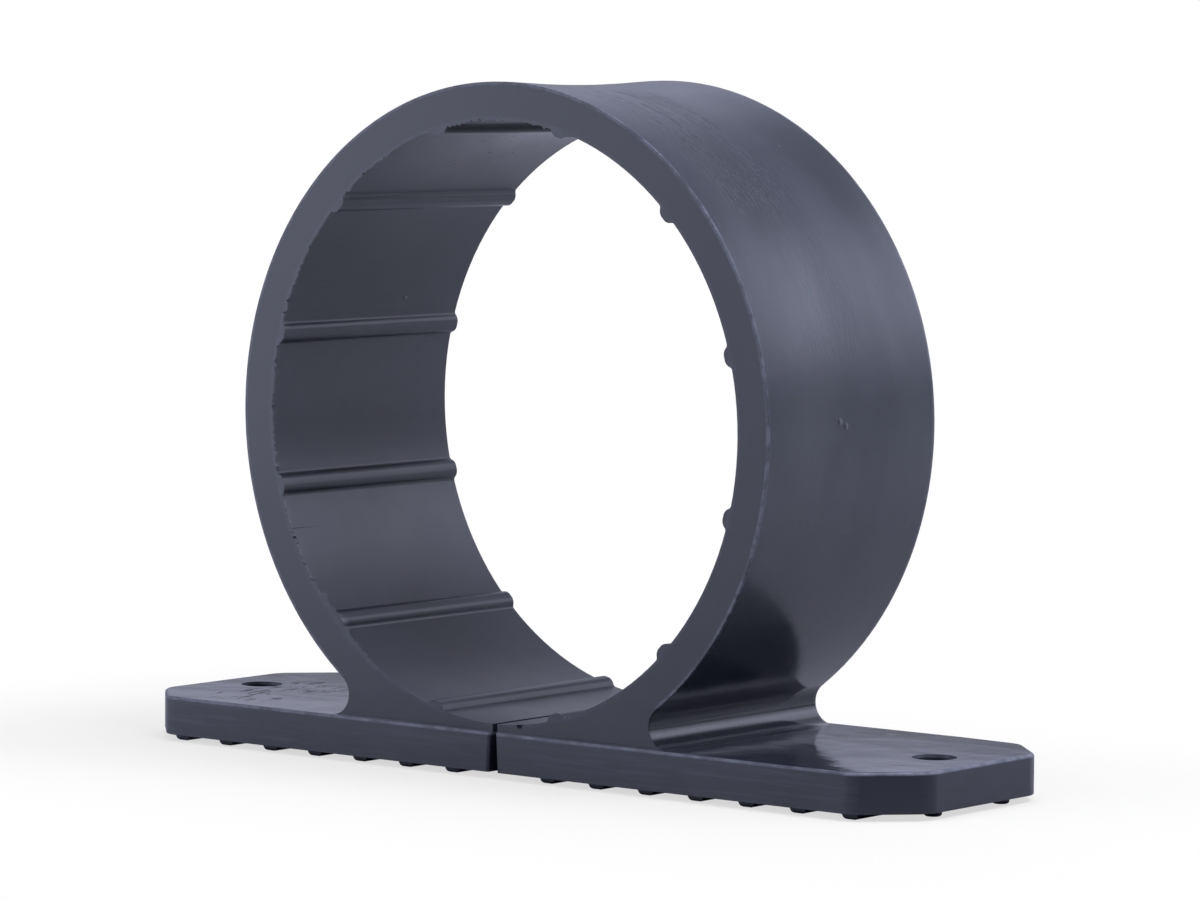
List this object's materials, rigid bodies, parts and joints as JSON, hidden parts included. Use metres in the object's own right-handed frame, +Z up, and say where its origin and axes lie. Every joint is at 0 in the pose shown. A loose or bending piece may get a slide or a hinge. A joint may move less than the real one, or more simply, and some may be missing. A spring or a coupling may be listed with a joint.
{
  "type": "pipe clip",
  "caption": "One-piece moulded plastic pipe clip: a split ring with ribs inside it on two nail-down feet with ribs underneath.",
  "frame": {"origin": "middle of the plane on which the ribs under the feet rest, below the split", "axes": "+X along the feet, +Y along the pipe, +Z up from the feet to the top of the ring"},
  "size_m": [0.102, 0.029, 0.0712],
  "materials": {
    "body": "dark slate grey moulded polypropylene, satin"
  },
  "bodies": {
    "root": {"clip_body": "body"}
  },
  "joints": []
}
